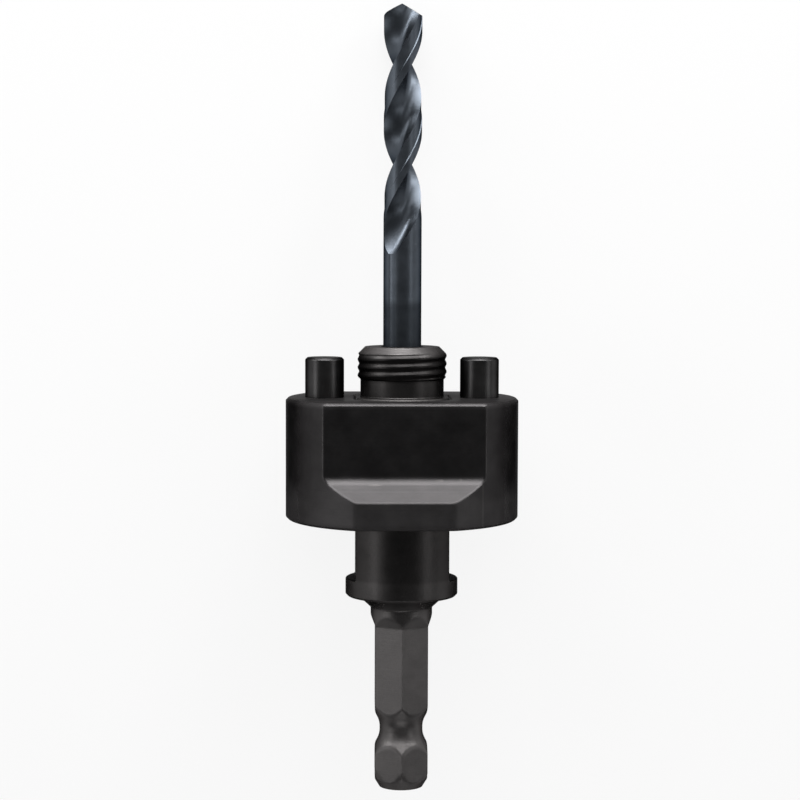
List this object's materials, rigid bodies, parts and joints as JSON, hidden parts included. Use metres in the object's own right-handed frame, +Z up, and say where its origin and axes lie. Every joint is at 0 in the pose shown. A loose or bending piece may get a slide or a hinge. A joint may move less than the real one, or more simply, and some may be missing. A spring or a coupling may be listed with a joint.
{
  "type": "hole saw arbor",
  "caption": "Hole saw arbor with hex shank, sliding drive plate, drive pins, threaded spigot and a clamped pilot drill.",
  "frame": {"origin": "middle of the lying part's outline, on the table that it rests on", "axes": "+Z up, +X along the row of drive pins, +Y towards the pilot drill's tip, which dips to the table"},
  "size_m": [0.0412, 0.1375, 0.0377],
  "materials": {
    "blackened_steel": "black oxide, satin",
    "plate_steel": "black oxide, satin",
    "pin_steel": "black oxide, ground",
    "drill_steel": "steam-tempered, dark blue grey",
    "screw_steel": "black oxide",
    "bright_steel": "polished"
  },
  "bodies": {
    "arbor": {"arbor_body": "blackened_steel", "pilot_drill": "drill_steel", "pilot_set_screw": "screw_steel", "detent_ball": "bright_steel", "detent_spring": "bright_steel"},
    "drive_plate": {"drive_plate": "plate_steel", "drive_pin_left": "pin_steel", "drive_pin_right": "pin_steel"}
  },
  "joints": [
    {"name": "drive_plate_slide", "type": "slide", "parent": "arbor", "child": "drive_plate", "axis": [0, -0.9819, 0.1897], "range_m": [0, 0.0106]}
  ]
}
